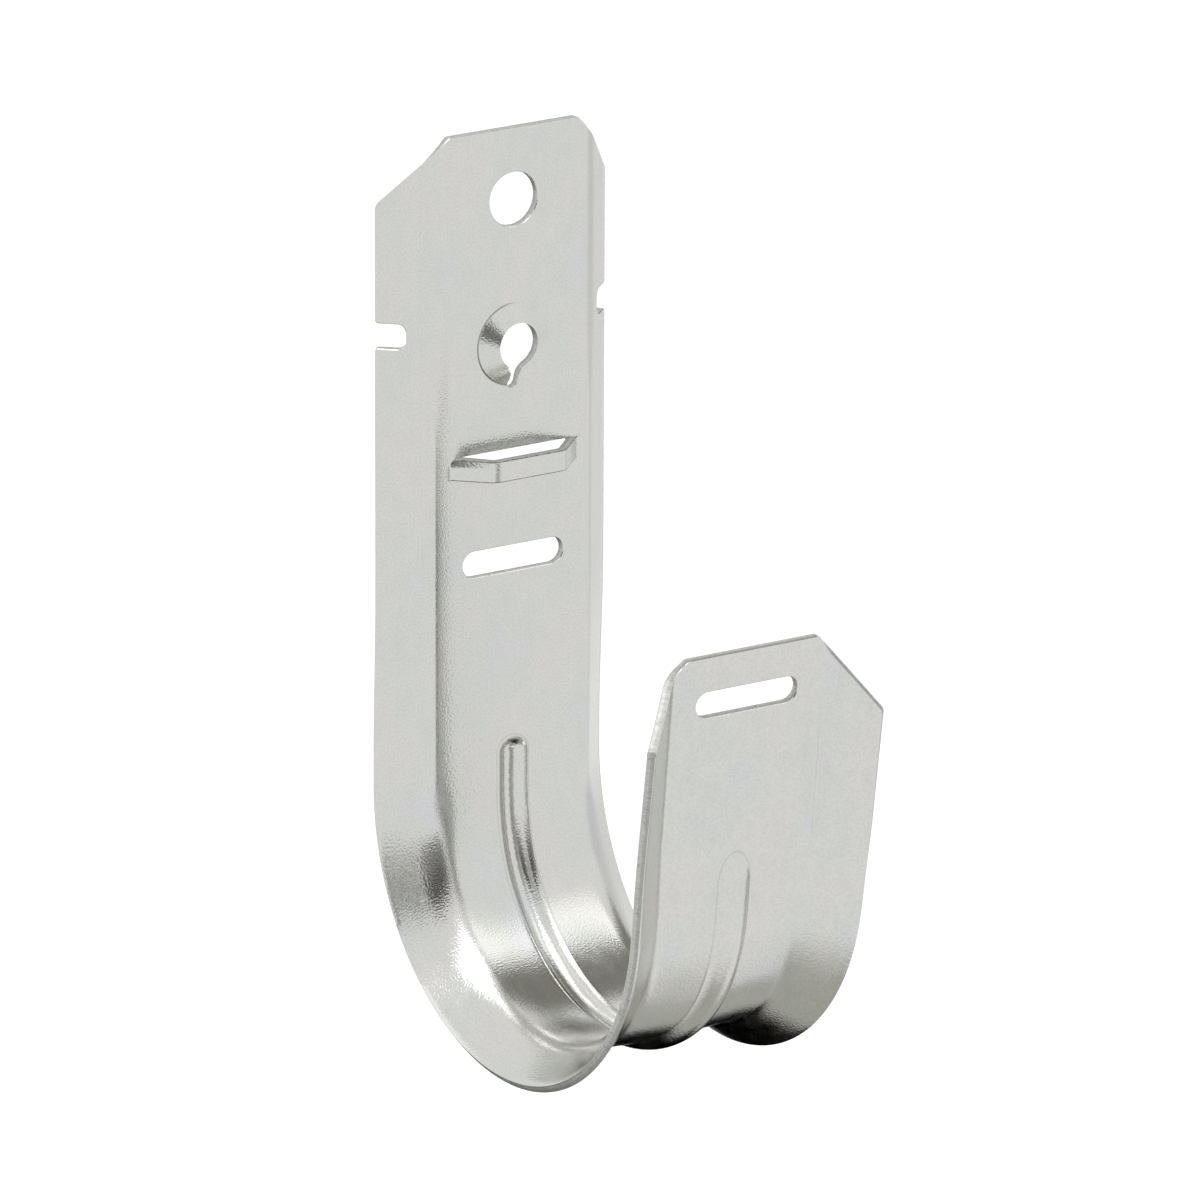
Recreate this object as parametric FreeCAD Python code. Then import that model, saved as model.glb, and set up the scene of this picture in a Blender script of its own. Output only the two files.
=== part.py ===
import FreeCAD, Part
import math
import os

# J hook cable support, one strip of galvanised sheet steel, blanked, pierced and pressed.
# All sizes are millimetres. Z is up, X runs along the cables, the lip stands toward -Y.
# The origin is on the axis of the mounting hole, at the middle of the sheet's thickness.

V = FreeCAD.Vector

# Sheet, and the bends between its flat web and its two flared wings
sheet = 1.2
fold_half = 12.0
soft_bend = 6.0
crisp_bend = 3.0
trough_ease = 1.9

# Path of the web: back plate, trough and leaning lip
top_above_hole = 9.85
soft_below_hole = 20.6
crisp_below_hole = 32.6
flare_below_hole = 52.6
entry_above_trough = 4.3
trough_below_hole = 81.6
trough_radius = 26.1
lip_lean = 6.1
lip_length = 37.35

# Path of the wings' edges: how far out they stand, and the arc that they follow under the trough
edge_half = 18.2
back_drop = 5.75
trough_narrows = 0.1
lip_widens = 0.4
lip_fold_widens = 0.4
edge_below_hole = 80.6
edge_from_back = 25.4
edge_radius = 31.85
edge_lean = 8.5
lip_widens_over = 12.0

# Corners cut off the blank
back_corner_from = 10.15
back_corner_drop = 9.45
lip_near_corner_from = 9.65
lip_near_corner_drop = 9.4
lip_far_corner_from = 10.9
lip_far_corner_drop = 9.7
corner_round = 1.0

# Mounting hole, and the dish with a screw thread impression
hole_diameter = 7.5
dish_below_hole = 20.0
dish_diameter = 11.35
dish_rise = 1.35
thread_pitch = 1.27
thread_hole = 6.3
dish_slit = 1.5
dish_slit_reach = 5.9
dish_slit_left = 0.3

# Strap lanced out of the back plate
strap_below_hole = 36.0
strap_height = 3.05
strap_opening = 21.0
strap_foot = 0.7
strap_flat = 10.6
strap_rise = 4.4
strap_bend = 0.8

# Slots for ties, one in the back plate and one in the lip
slot_length = 15.9
slot_height = 3.7
back_slot_below_hole = 49.85
lip_slot_from_top = 6.75

# Notches in the wings
notch_below_hole = 17.5
notch_height = 3.5
notch_depth = 4.2
notch_corner = 1.2
notch_round = 0.4

# Centre rib, pressed outward
rib_width = 5.3
rib_depth = 1.3
rib_shoulder = 1.5
rib_rim_slope = 25.0
rib_back_end = 4.4
rib_lip_end = 5.9

# Steps along the curved forms, and the small distances that keep cuts clean
trough_steps = 24
bend_steps = 4
corner_steps = 3
dish_steps = 15
reach = 1.0
skim = 0.02
join_within = 0.005

front = -sheet / 2.0
rear = sheet / 2.0
lean = math.radians(lip_lean)
axis_y = front - trough_radius
axis_z = -trough_below_hole
edge_y = front - edge_from_back
edge_z = -edge_below_hole
turn_end = math.pi / 2.0 - lean
web_half = fold_half - trough_ease
trough_half = edge_half - trough_narrows
lip_half = edge_half + lip_widens
lip_fold = fold_half + lip_fold_widens


# Places on the strip: x across, o outward from the inside face of the web
def on_back(z):
    return lambda x, o: V(x, front + o, z)


# turn is measured from the lowest point of the trough, toward the lip
def on_trough(turn):
    def put(x, o):
        out = trough_radius + o
        return V(x, axis_y - out * math.sin(turn), axis_z - out * math.cos(turn))
    return put


def on_lip(along):
    def put(x, o):
        out = trough_radius + o
        y = axis_y - out * math.cos(lean) - along * math.sin(lean)
        z = axis_z - out * math.sin(lean) + along * math.cos(lean)
        return V(x, y, z)
    return put


# Distance from the web's inside face out to the wings' edges
def trough_drop(turn):
    across = (axis_y - edge_y) * -math.sin(turn) + (axis_z - edge_z) * -math.cos(turn)
    away = (axis_y - edge_y) ** 2 + (axis_z - edge_z) ** 2
    return math.sqrt(edge_radius ** 2 - away + across ** 2) - across - trough_radius


def lip_drop(along):
    edge_turn = math.pi / 2.0 - math.radians(edge_lean)
    out_y, out_z = -math.sin(edge_turn), -math.cos(edge_turn)
    web = on_lip(along)(0.0, 0.0)
    lip_out = on_lip(along)(0.0, 1.0) - web
    gap = edge_radius - (web.y - edge_y) * out_y - (web.z - edge_z) * out_z
    return gap / (lip_out.y * out_y + lip_out.z * out_z)


def trough_width(turn):
    return trough_half + (lip_half - trough_half) / 2.0 * max(turn, 0.0) / turn_end


# Angle of a wing whose edge stands at half and drop, and its length past the fold
def flare_of(half, drop, fold):
    return math.atan2(drop, half - fold), math.hypot(drop, half - fold)


# Tip, bend and fold of the section in the trough, where the bends start at the web's full width
def trough_part(turn):
    half, drop = trough_width(turn), trough_drop(turn)
    bend = trough_ease / math.tan(flare_of(half, drop, fold_half)[0] / 2.0)
    return half, drop, bend, fold_half


def lip_part(along):
    return lip_half, lip_drop(along), crisp_bend, lip_fold


def line(a, b):
    return Part.LineSegment(a, b).toShape()


def arc(a, b, c):
    return Part.Arc(a, b, c).toShape()


# Rib section: rounded shoulders and floor inside, one sheet thickness out to a round crown
rib_half = rib_width / 2.0
rib_sum = (rib_half ** 2 + rib_depth ** 2) / (2.0 * rib_depth)
rib_slope = math.atan2(rib_half, rib_sum - rib_depth)
rib_floor = rib_sum - rib_shoulder
rib_centre = rib_depth - rib_floor


# Half of the groove from above the inside face to its floor, with the shoulder's rim left crisp
def groove_half():
    rim = math.radians(rib_rim_slope)
    mouth = -sheet / 2.0

    def shoulder(angle):
        across = rib_half - rib_shoulder * math.sin(angle)
        return across, rib_shoulder - rib_shoulder * math.cos(angle)

    edge = shoulder(rim)
    open_side = (edge[0] + (edge[1] - mouth) / math.tan(rim), mouth)
    turned = rib_slope / 2.0
    floor_side = (rib_floor * math.sin(turned), rib_centre + rib_floor * math.cos(turned))
    shoulder_middle = shoulder((rim + rib_slope) / 2.0)
    return open_side, edge, shoulder_middle, shoulder(rib_slope), floor_side, (0.0, rib_depth)


def ridge_half():
    crown = rib_floor + sheet
    base = sheet / 2.0
    foot = math.sqrt(crown ** 2 - (base - rib_centre) ** 2)
    turned = math.atan2(foot, base - rib_centre) / 2.0
    side = (crown * math.sin(turned), rib_centre + crown * math.cos(turned))
    return (foot, base), side, (0.0, rib_centre + crown)


def groove_face(put):
    points = groove_half()
    right = [put(x, o) for x, o in points]
    left = [put(-x, o) for x, o in points]
    return Part.Face(Part.Wire([
        line(right[0], right[1]),
        arc(right[1], right[2], right[3]),
        arc(right[3], right[5], left[3]),
        arc(left[3], left[2], left[1]),
        line(left[1], left[0]),
        line(left[0], right[0]),
    ]))


def groove_quarter(put):
    points = groove_half()
    right = [put(x, o) for x, o in points]
    top = put(0.0, points[0][1])
    return Part.Face(Part.Wire([
        line(right[0], right[1]),
        arc(right[1], right[2], right[3]),
        arc(right[3], right[4], right[5]),
        line(right[5], top),
        line(top, right[0]),
    ]))


def ridge_face(put):
    outline = ridge_half()
    foot, top = outline[0], outline[2]
    right, left = put(*foot), put(-foot[0], foot[1])
    return Part.Face(Part.Wire([arc(right, put(*top), left), line(left, right)]))


def ridge_quarter(put):
    foot, side, top = ridge_half()
    base = put(0.0, foot[1])
    return Part.Face(Part.Wire([
        arc(put(*foot), put(*side), put(*top)), line(put(*top), base), line(base, put(*foot))]))


# One bead along the web: straight on the back, round the trough, straight on the lip, domed ends
def bead(face_at, quarter_at):
    back_run = face_at(on_back(axis_z)).extrude(V(0, 0, rib_back_end))
    turn = math.degrees(turn_end + math.pi / 2.0)
    round_run = face_at(on_back(axis_z)).revolve(V(0, axis_y, axis_z), V(-1, 0, 0), turn)
    up_lip = V(0, -math.sin(lean), math.cos(lean))
    lip_run = face_at(on_lip(0.0)).extrude(up_lip * rib_lip_end)
    back_put = on_back(axis_z + rib_back_end)
    lip_put = on_lip(rib_lip_end)
    back_dome = quarter_at(back_put).revolve(back_put(0, 0), V(0, 1, 0), 360)
    lip_out = lip_put(0, 1) - lip_put(0, 0)
    lip_dome = quarter_at(lip_put).revolve(lip_put(0, 0), lip_out, 360)
    return back_run.fuse([round_run, lip_run, back_dome, lip_dome])


# Cross-section of the strip: flat web, two bends and two flared wings
def section(half, drop, bend, fold, put, hand=0):
    a, wing = flare_of(half, drop, fold)
    tangent = bend * math.tan(a / 2.0)
    centre_x = fold - tangent

    def side(offset):
        slope = (math.cos(a), math.sin(a))
        normal = (-math.sin(a) * offset, math.cos(a) * offset)
        radius = bend - offset
        tip = (fold + wing * slope[0] + normal[0], wing * slope[1] + normal[1])
        end = (fold + tangent * slope[0] + normal[0], tangent * slope[1] + normal[1])
        middle = (centre_x + radius * math.sin(a / 2.0), bend - radius * math.cos(a / 2.0))
        start = (centre_x, offset)
        return tip, end, middle, start

    inner = side(0.0)
    outer = side(sheet)
    if hand:
        near = [put(hand * x, o) for x, o in inner]
        far = [put(hand * x, o) for x, o in outer]
        return Part.Wire([
            line(near[0], near[1]),
            arc(near[1], near[2], near[3]),
            line(near[3], far[3]),
            arc(far[3], far[2], far[1]),
            line(far[1], far[0]),
            line(far[0], near[0]),
        ])
    right_in = [put(x, o) for x, o in inner]
    left_in = [put(-x, o) for x, o in inner]
    right_out = [put(x, o) for x, o in outer]
    left_out = [put(-x, o) for x, o in outer]
    return Part.Wire([
        line(right_in[0], right_in[1]),
        arc(right_in[1], right_in[2], right_in[3]),
        line(right_in[3], left_in[3]),
        arc(left_in[3], left_in[2], left_in[1]),
        line(left_in[1], left_in[0]),
        line(left_in[0], left_out[0]),
        line(left_out[0], left_out[1]),
        arc(left_out[1], left_out[2], left_out[3]),
        line(left_out[3], right_out[3]),
        arc(right_out[3], right_out[2], right_out[1]),
        line(right_out[1], right_out[0]),
        line(right_out[0], right_in[0]),
    ])


def between(first, second):
    return Part.makeLoft([first, second], True, True)


# The formed strip: ruled lengths on the plate and the lip, one smooth length round the trough
def strip():
    soft = (edge_half, back_drop, soft_bend, fold_half)
    crisp = (edge_half, back_drop, crisp_bend, fold_half)
    entry = trough_part(-math.pi / 2.0)
    back = [
        section(*soft, on_back(top_above_hole)),
        section(*soft, on_back(-soft_below_hole)),
        section(*crisp, on_back(-crisp_below_hole)),
        section(*crisp, on_back(-flare_below_hole)),
        section(*entry, on_back(axis_z + entry_above_trough)),
        section(*entry, on_back(axis_z)),
    ]
    pieces = [between(a, b) for a, b in zip(back, back[1:])]
    for hand in (1, -1):
        round_wires = []
        for step in range(trough_steps + 1):
            turn = -math.pi / 2.0 + (turn_end + math.pi / 2.0) * step / trough_steps
            round_wires.append(section(*trough_part(turn), on_trough(turn), hand))
        pieces.append(Part.makeLoft(round_wires, True, False))
    start = on_back(axis_z)
    corners = [start(web_half, 0.0), start(-web_half, 0.0)]
    corners += [start(-web_half, sheet), start(web_half, sheet)]
    web_face = Part.Face(Part.makePolygon(corners + [corners[0]]))
    turn = math.degrees(turn_end + math.pi / 2.0)
    pieces.append(web_face.revolve(V(0, axis_y, axis_z), V(-1, 0, 0), turn))
    lip = [
        section(*trough_part(turn_end), on_lip(0.0)),
        section(*lip_part(lip_widens_over), on_lip(lip_widens_over)),
        section(*lip_part(lip_length), on_lip(lip_length)),
    ]
    pieces += [between(a, b) for a, b in zip(lip, lip[1:])]
    return pieces[0].fuse(pieces[1:], join_within)


# Place on the inside face at a distance measured on the flat blank, with the sheet's outward normal
def on_blank(distance, half, drop, bend, fold):
    a = flare_of(half, drop, fold)[0]
    flat = fold - bend * math.tan(a / 2.0)
    if distance <= flat:
        return (distance, 0.0), (0.0, 1.0)
    turned = min((distance - flat) / bend, a)
    past = max(distance - flat - bend * a, 0.0)
    x = flat + bend * math.sin(turned) + past * math.cos(a)
    o = bend - bend * math.cos(turned) + past * math.sin(a)
    return (x, o), (-math.sin(turned), math.cos(turned))


def blank_half(half, drop, bend, fold):
    a, wing = flare_of(half, drop, fold)
    return fold + wing - 2.0 * bend * math.tan(a / 2.0) + bend * a


# Corner cut of the blank as distances across and heights below the end, with rounded corners
def corner_outline(start, half_width, drop):
    angle = math.atan2(drop, half_width - start)
    ease = corner_round * math.tan(angle / 2.0)
    points = [(start - ease - reach, -reach), (start - ease, -skim)]
    for step in range(1, corner_steps + 1):
        t = angle * step / corner_steps
        across = start - ease + corner_round * math.sin(t)
        points.append((across, corner_round - corner_round * math.cos(t)))
    rest = math.pi / 2.0 - angle
    ease = corner_round * math.tan(rest / 2.0)
    low_across = half_width - corner_round
    low_down = drop + ease
    for step in range(corner_steps + 1):
        t = angle + rest * step / corner_steps
        across = low_across + corner_round * math.sin(t)
        points.append((across, low_down - corner_round * math.cos(t)))
    points.append((half_width + reach, low_down))
    return points


def corner_cutter(start, drop, side, part, place):
    half, edge_drop, bend, fold = part
    a = flare_of(half, edge_drop, fold)[0]
    flat = fold - bend * math.tan(a / 2.0)
    points = corner_outline(start, blank_half(*part), drop)
    stops = [flat + bend * a * step / bend_steps for step in range(bend_steps + 1)]
    knots = sorted([p[0] for p in points] + [s for s in stops if s > points[0][0]])
    clean = [knots[0]]
    for k in knots[1:]:
        if k - clean[-1] > skim / 2.0:
            clean.append(k)
    wires = []
    for across in clean:
        below = points[-1][1]
        for (a0, d0), (a1, d1) in zip(points, points[1:]):
            if a0 <= across <= a1:
                below = d0 + (d1 - d0) * (across - a0) / (a1 - a0)
                break
        (x, o), (nx, no) = on_blank(across, *part)
        near = (x - nx * reach, o - no * reach)
        far = (x + nx * (sheet + reach / 2.0), o + no * (sheet + reach / 2.0))
        above = -2.0 * reach
        corners = [place(side * near[0], near[1], below), place(side * far[0], far[1], below)]
        corners += [place(side * far[0], far[1], above), place(side * near[0], near[1], above)]
        wires.append(Part.makePolygon(corners + [corners[0]]))
    return Part.makeLoft(wires, True, True)


def back_place(x, o, below):
    return on_back(top_above_hole - below)(x, o)


def lip_place(x, o, below):
    return on_lip(lip_length - below)(x, o)


# Round-ended slot through the sheet, lying across the strip
def slot(middle, along, up, through, length, height):
    r = height / 2.0
    s = length / 2.0 - r
    start = middle - through * (2.0 * sheet)
    a = start + along * s + up * r
    b = start + along * (s + r)
    c = start + along * s - up * r
    d = start - along * s - up * r
    e = start - along * (s + r)
    f = start - along * s + up * r
    outline = Part.Wire([arc(a, b, c), line(c, d), arc(d, e, f), line(f, a)])
    return Part.Face(outline).extrude(through * (4.0 * sheet))


# Notch in from a wing's edge, with rounded inner corners
def notch(side):
    a = flare_of(edge_half, back_drop, fold_half)[0]
    along = V(side * math.cos(a), math.sin(a), 0)
    through = V(-side * math.sin(a), math.cos(a), 0)
    tip = V(side * edge_half, front + back_drop, -notch_below_hole) - through * (2.0 * sheet)
    half = notch_height / 2.0
    straight = half - notch_corner
    inset = notch_corner * (1.0 - math.sqrt(0.5))

    def at(depth, height):
        return tip - along * depth + V(0, 0, height)

    outline = Part.Wire([
        line(at(-notch_depth, half), at(notch_depth - notch_corner, half)),
        arc(at(notch_depth - notch_corner, half), at(notch_depth - inset, half - inset),
            at(notch_depth, straight)),
        line(at(notch_depth, straight), at(notch_depth, -straight)),
        arc(at(notch_depth, -straight), at(notch_depth - inset, inset - half),
            at(notch_depth - notch_corner, -half)),
        line(at(notch_depth - notch_corner, -half), at(-notch_depth, -half)),
        line(at(-notch_depth, -half), at(-notch_depth, half)),
    ])
    return Part.Face(outline).extrude(through * (4.0 * sheet))


# Screw dish: a cone whose rim climbs one thread pitch in a turn, from the right of the slit to its left
def dish_body(shift, lid):
    base = dish_diameter / 2.0
    rim = thread_hole / 2.0
    inner = rim - reach
    outer = base + reach / 2.0
    gap = dish_slit / 4.0 / rim
    slit_turn = 2.0 * dish_slit_left / (base + rim)
    wires = []
    for step in range(dish_steps + 1):
        share = step / dish_steps
        angle = -math.pi / 2.0 - slit_turn + gap + share * (2.0 * math.pi - 2.0 * gap)
        rise = dish_rise + thread_pitch * (share - 0.5)
        slope = rise / (base - rim)
        ray = V(math.cos(angle), 0, math.sin(angle))

        def at(radius, y):
            return ray * radius + V(0, y, -dish_below_hole)

        corners = [
            at(inner, lid),
            at(inner, front + shift - slope * (base - inner)),
            at(outer, front + shift + slope * (outer - base)),
            at(outer, lid),
        ]
        wires.append(Part.makePolygon(corners + [corners[0]]))
    return Part.makeLoft(wires, True, True)


def dish_slit_cutter():
    r = dish_slit / 2.0
    length = dish_slit_reach + r
    middle = V(-dish_slit_left, 0, -dish_below_hole - dish_slit_reach + length / 2.0)
    deep = V(0, 1, 0)
    cutter = slot(middle, V(0, 0, 1), V(1, 0, 0), deep, length, dish_slit)
    return cutter.fuse(cutter.translated(V(0, -2.0 * sheet, 0)))


# Strap: a bent strip that bridges its own opening
def strap():
    half = strap_opening / 2.0
    foot = half - strap_foot
    flat = strap_flat / 2.0
    slope = math.atan2(strap_rise, foot - flat)
    shift = sheet * math.tan(slope / 2.0)
    low = -strap_below_hole - strap_height / 2.0
    outline = [
        (-half, front), (-foot, front), (-flat, front - strap_rise), (flat, front - strap_rise),
        (foot, front), (half, front), (half, rear), (foot - shift, rear),
        (flat - shift, rear - strap_rise), (-flat + shift, rear - strap_rise),
        (-foot + shift, rear), (-half, rear),
    ]
    points = [V(x, y, low) for x, y in outline]
    body = Part.Face(Part.makePolygon(points + [points[0]])).extrude(V(0, 0, strap_height))
    tight, wide = [], []
    for edge in body.Edges:
        a, b = edge.Vertexes[0].Point, edge.Vertexes[1].Point
        if abs(a.x - b.x) > skim or abs(a.y - b.y) > skim or abs(a.x) > half - skim:
            continue
        foot_front = abs(a.y - front) < skim
        flat_rear = abs(a.y - (rear - strap_rise)) < skim
        (tight if foot_front or flat_rear else wide).append(edge)
    body = body.makeFillet(strap_bend, tight)
    wide_again = []
    for edge in body.Edges:
        a, b = edge.Vertexes[0].Point, edge.Vertexes[-1].Point
        for old in wide:
            c = old.Vertexes[0].Point
            if math.hypot(a.x - c.x, a.y - c.y) < skim and math.hypot(b.x - c.x, b.y - c.y) < skim:
                wide_again.append(edge)
    return body.makeFillet(strap_bend + sheet, wide_again)


def strap_cutter():
    low = -strap_below_hole - strap_height / 2.0
    corner = V(-strap_opening / 2.0, front - sheet, low)
    return Part.makeBox(strap_opening, 3.0 * sheet, strap_height, corner)


def j_hook():
    deep = V(0, 1, 0)
    across = V(1, 0, 0)
    up = V(0, 0, 1)
    lip_up = V(0, -math.sin(lean), math.cos(lean))
    body = strip()
    body = body.fuse(bead(ridge_face, ridge_quarter))
    body = body.cut(bead(groove_face, groove_quarter))
    body = body.cut(strap_cutter())
    body = body.fuse(strap())
    body = body.fuse(dish_body(0.0, 0.0))
    dish_recess = dish_body(sheet, rear + sheet)
    dish_bore = Part.makeCylinder(
        thread_hole / 2.0, 6.0 * sheet, V(0, -4.0 * sheet, -dish_below_hole), deep)
    mount_bore = Part.makeCylinder(hole_diameter / 2.0, 4.0 * sheet, V(0, -2.0 * sheet, 0), deep)
    back_slot = slot(V(0, 0, -back_slot_below_hole), across, up, deep, slot_length, slot_height)
    lip_put = on_lip(lip_length - lip_slot_from_top)
    lip_out = lip_put(0, 1) - lip_put(0, 0)
    lip_slot = slot(lip_put(0, sheet / 2.0), across, lip_up, lip_out, slot_length, slot_height)
    cutters = [dish_recess, dish_bore, dish_slit_cutter(), mount_bore, back_slot, lip_slot]
    cutters += [notch(1), notch(-1)]
    back_part = (edge_half, back_drop, soft_bend, fold_half)
    for side in (-1, 1):
        corner = (back_corner_from, back_corner_drop, side)
        cutters.append(corner_cutter(*corner, back_part, back_place))
    lip_corners = [
        (lip_near_corner_from, lip_near_corner_drop, -1),
        (lip_far_corner_from, lip_far_corner_drop, 1),
    ]
    for corner in lip_corners:
        cutters.append(corner_cutter(*corner, lip_part(lip_length), lip_place))
    for cutter in cutters:
        body = body.cut(cutter)
    body = body.removeSplitter()
    return soften_notches(body)


# The mouths of the notches are eased where the cut meets the edge of the wing
def soften_notches(body):
    mouths = []
    for edge in body.Edges:
        if len(edge.Vertexes) != 2:
            continue
        a, b = edge.Vertexes[0].Point, edge.Vertexes[1].Point
        at_mouth = abs(abs(a.z + notch_below_hole) - notch_height / 2.0) < skim
        level = abs(a.z - b.z) < skim
        at_tip = min(abs(abs(a.x) - edge_half), abs(abs(b.x) - edge_half)) < skim
        short = edge.Length < 1.5 * sheet
        if at_mouth and level and at_tip and short:
            mouths.append(edge)
    return body.makeFillet(notch_round, mouths)


os.makedirs("parts", exist_ok=True)
hook = j_hook()
if hook.ShapeType == "Compound" and len(hook.Solids) == 1:
    hook = hook.Solids[0]
print("valid", hook.isValid(), "solids", len(hook.Solids), "volume", round(hook.Volume, 1))
box = hook.BoundBox
print("box", round(box.XLength, 2), round(box.YLength, 2), round(box.ZLength, 2))
hook.exportStep("parts/j_hook.step")
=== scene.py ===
import bmesh
import bpy
import math
from mathutils import Matrix, Vector


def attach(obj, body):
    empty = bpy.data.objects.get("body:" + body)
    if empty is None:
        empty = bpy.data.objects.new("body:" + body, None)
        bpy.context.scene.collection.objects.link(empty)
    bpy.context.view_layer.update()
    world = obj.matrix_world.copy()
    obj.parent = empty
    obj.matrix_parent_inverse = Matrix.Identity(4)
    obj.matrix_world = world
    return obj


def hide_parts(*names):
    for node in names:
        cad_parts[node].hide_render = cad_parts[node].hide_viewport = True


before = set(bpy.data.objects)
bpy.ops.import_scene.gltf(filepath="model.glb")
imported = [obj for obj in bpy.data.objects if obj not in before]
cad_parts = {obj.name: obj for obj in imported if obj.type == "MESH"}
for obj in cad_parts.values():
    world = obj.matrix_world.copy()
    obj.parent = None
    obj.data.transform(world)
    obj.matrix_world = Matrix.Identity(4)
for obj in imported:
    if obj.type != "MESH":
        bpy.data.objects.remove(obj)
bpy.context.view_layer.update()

# Sizes in millimetres, the same as the part's own. Z is up, the lip stands toward -Y.
sheet = 1.2
front = -0.6
fold_half = 12.0
edge_half = 18.2
top_above_hole = 9.85
soft_bend, crisp_bend, lip_bend = 6.0, 5.0, 3.0
soft_below_hole, crisp_below_hole, flare_below_hole = 20.6, 32.6, 52.6
entry_above_trough = 4.3
trough_below_hole, trough_radius, trough_ease = 81.6, 26.1, 1.9
lip_lean, lip_length = math.radians(6.1), 37.35
back_drop = 5.75
trough_half, lip_half, lip_widens_over, lip_fold = 18.1, 18.6, 12.0, 12.4
edge_centre_y, edge_centre_z, edge_radius, edge_lean = -26.0, -80.6, 31.85, math.radians(8.5)

axis_y = front - trough_radius
axis_z = -trough_below_hole
turn_end = math.pi / 2.0 - lip_lean
back_length = top_above_hole + trough_below_hole
arc_length = (turn_end + math.pi / 2.0) * trough_radius
lip_start = back_length + arc_length
strip_length = lip_start + lip_length

# The centre rib: its section, its rounded ends, and the flatter dome at its end on the lip
rib_half, rib_depth, rib_shoulder, rib_foot = 2.65, 1.3, 1.5, 0.3
rib_rim_slope, rib_crease = math.radians(25.0), 0.4
rib_back_end, rib_lip_end, lip_dome_ease = 4.4, 4.0, 0.55
dome_least, dome_fade = 0.15, 7.5
rib_sum = (rib_half ** 2 + rib_depth ** 2) / (2.0 * rib_depth)
rib_slope = math.atan2(rib_half, rib_sum - rib_depth)
rib_floor = rib_sum - rib_shoulder
rib_centre = rib_depth - rib_floor
rib_top = back_length - rib_back_end
rib_end = lip_start + rib_lip_end
rim_x = rib_half - rib_shoulder * math.sin(rib_rim_slope)
rim_out = rib_shoulder - rib_shoulder * math.cos(rib_rim_slope)
crease_out = rib_crease - rib_crease * math.cos(rib_rim_slope)
crease_x = rim_x + (rim_out - crease_out) / math.tan(rib_rim_slope)
crease_to = crease_x + rib_crease * math.sin(rib_rim_slope)

# Hole, screw dish, strap, slots, notches and cut corners
hole_radius = 3.75
dish_below_hole, dish_base, dish_rim, dish_rise, thread_pitch = 20.0, 5.675, 3.15, 1.35, 1.27
dish_disc, dish_ease, dish_segments = 6.6, 0.12, 96
slit_left, slit_ease, slit_end_radius = 0.3, 0.3, 0.8
strap_below_hole, strap_height, strap_half, strap_foot = 36.0, 3.05, 10.5, 0.7
strap_flat_half, strap_rise, strap_bend, strap_gap, strap_tuck = 5.3, 4.4, 1.7, 0.02, 0.06
opening_ease = 0.02
slot_half, slot_radius = 7.95, 1.85
back_slot_below_hole, lip_slot_from_top = 49.85, 6.75
notch_below_hole, notch_half, notch_depth, notch_corner, notch_mouth = 17.5, 1.75, 4.2, 1.2, 0.4
back_corner_from, back_corner_drop = 10.15, 9.45
lip_near_corner_from, lip_near_corner_drop = 9.65, 9.4
lip_far_corner_from, lip_far_corner_drop = 10.9, 9.7
corner_round, corner_step = 1.0, 0.4

# Fine forms of the pressed sheet
edge_break, strap_break = 0.09, 0.17
trough_sag, sag_run = 0.4, 14.0
gentle_web_side, crisp_wing_side, gentle_run = 3.9, 0.4, 12.0
eased_wing, eased_from, eased_full, eased_until, eased_gone = 2.2, -1.0, 6.0, 20.0, 34.0
ramp_curl, ramp_curl_over, ramp_from, ramp_fade_from, ramp_fade_to = 0.42, 1.1, 1.2, 1.4, 0.4
strap_thin, strap_rows, strap_plain_end, strap_bend_steps = 0.99, 12, 0.6, 8
strap_bend_share = 0.95

# Thin lines of painted crease shade drawn in the zinc: how far inside a rim or fold, half widths, tones,
# and where they run
rib_line_in, rib_line_core, rib_line_out, rib_line_tone = 0.12, 0.03, 0.14, 0.86
fold_line_in, fold_line_core, fold_line_out, fold_line_dark = 0.1, 0.02, 0.09, 0.2
fold_line_from, fold_line_full, fold_line_until, fold_line_gone = 7.0, 11.0, 22.0, 26.0
ring_core, ring_out, ring_dark, ring_full_left_of, ring_gone_right_of = 0.04, 0.15, 0.55, -2.0, 1.0

# Places across the blank, where its flat middle, the spread next to it, a bend and a wing begin
flat_to, bend_from, wing_from, tip_at = 8.0, 10.0, 14.0, 20.5

# Lines of the blank's grid: close at the rib's rim, in the bends and at the rib's ends
rim_lines = [1.25, 1.46, 1.65, 1.84, rim_x, crease_x, 2.29, 2.35, 2.41, 2.47, 2.53, 2.59, rib_half, 2.85]
rib_step, web_from, web_step, spread_step, bend_step, wing_step = 0.25, 3.3, 1.0, 0.7, 0.3, 1.3
plate_step, low_step, trough_step, lip_step, dome_step, dome_margin = 1.4, 1.0, 0.95, 1.3, 0.16, 0.2

# How far cutters stand past the faces and edges that they cut
punch_over, past_edge, past_tip, past_end, corner_lift = 0.4, 1.0, 1.5, 3.0, 0.01

# An edge turns by more than rim_angle in radians, a cut wall's normal rises by less than wall_slope
rim_angle, wall_slope, smooth_angle = 1.2, 0.3, math.radians(32.0)
touching = 0.01
to_metres = 0.001


def blend(value, low, high):
    t = min(max((value - low) / (high - low), 0.0), 1.0)
    return t * t * (3.0 - 2.0 * t)


def trough_drop(turn):
    y_off, z_off = axis_y - edge_centre_y, axis_z - edge_centre_z
    across = -y_off * math.sin(turn) - z_off * math.cos(turn)
    away = y_off ** 2 + z_off ** 2
    return math.sqrt(edge_radius ** 2 - away + across ** 2) - across - trough_radius


def trough_width(turn):
    return trough_half + (lip_half - trough_half) / 2.0 * max(turn, 0.0) / turn_end


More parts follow.
